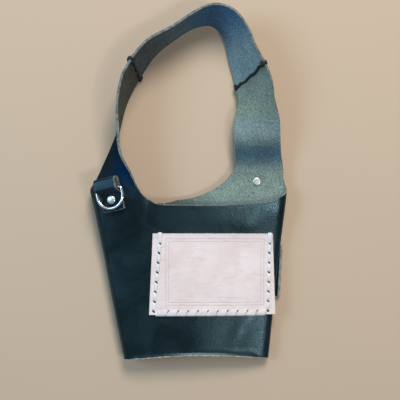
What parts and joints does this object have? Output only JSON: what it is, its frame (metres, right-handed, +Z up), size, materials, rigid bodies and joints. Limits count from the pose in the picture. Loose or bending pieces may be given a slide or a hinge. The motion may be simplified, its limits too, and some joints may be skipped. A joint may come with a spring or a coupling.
{
  "type": "leather drink holder",
  "caption": "Tapered leather sleeve for a cup, with a stitched carrying handle, a laced card pocket on the front, a band on the back and a riveted D-ring tab on each ear.",
  "frame": {"origin": "middle of the rear band's flat outer face, which the holder lies on", "axes": "+X across the flattened sleeve, +Y from the sleeve's bottom edge to the handle, +Z up out of the front, where the card pocket is"},
  "size_m": [0.1568, 0.2765, 0.0378],
  "materials": {
    "black_leather": "satin black grain, grey-green flesh side",
    "tab_leather": "satin black",
    "natural_leather": "matt natural, embossed",
    "white_lace": "matt white flat lace",
    "black_thread": "waxed cord",
    "nickel": "polished nickel plate"
  },
  "bodies": {
    "sleeve": {"body_wrap": "black_leather", "handle_strap": "black_leather", "rear_band": "black_leather", "card_pocket": "natural_leather", "pocket_lace": "white_lace", "left_seam_thread": "black_thread", "right_seam_thread": "black_thread", "back_seam_thread": "black_thread", "front_rivet_cap": "nickel", "front_rivet_post": "nickel", "rear_rivet_cap": "nickel", "rear_rivet_post": "nickel"},
    "front_tab": {"front_dring_tab": "tab_leather"},
    "front_ring": {"front_dring": "nickel"},
    "rear_tab": {"rear_dring_tab": "tab_leather"},
    "rear_ring": {"rear_dring": "nickel"}
  },
  "joints": [
    {"name": "front_tab_swivel", "type": "hinge", "parent": "sleeve", "child": "front_tab", "pos_m": [-0.06317, 0.06205, 0.02277], "axis": [-0.2156, -0.0306, 0.976], "range_deg": [-60, 60]},
    {"name": "front_dring_swing", "type": "hinge", "parent": "front_tab", "child": "front_ring", "pos_m": [-0.06573, 0.07043, 0.02685], "axis": [-0.9582, -0.1859, -0.2175], "range_deg": [0, 130]},
    {"name": "rear_tab_swivel", "type": "hinge", "parent": "sleeve", "child": "rear_tab", "pos_m": [0.05143, 0.07217, 0.0074], "axis": [0, 0, -1], "range_deg": [-60, 60]},
    {"name": "rear_dring_swing", "type": "hinge", "parent": "rear_tab", "child": "rear_ring", "pos_m": [0.05242, 0.08121, 0.00405], "axis": [0.994, -0.1095, 0], "range_deg": [0, 130]}
  ]
}
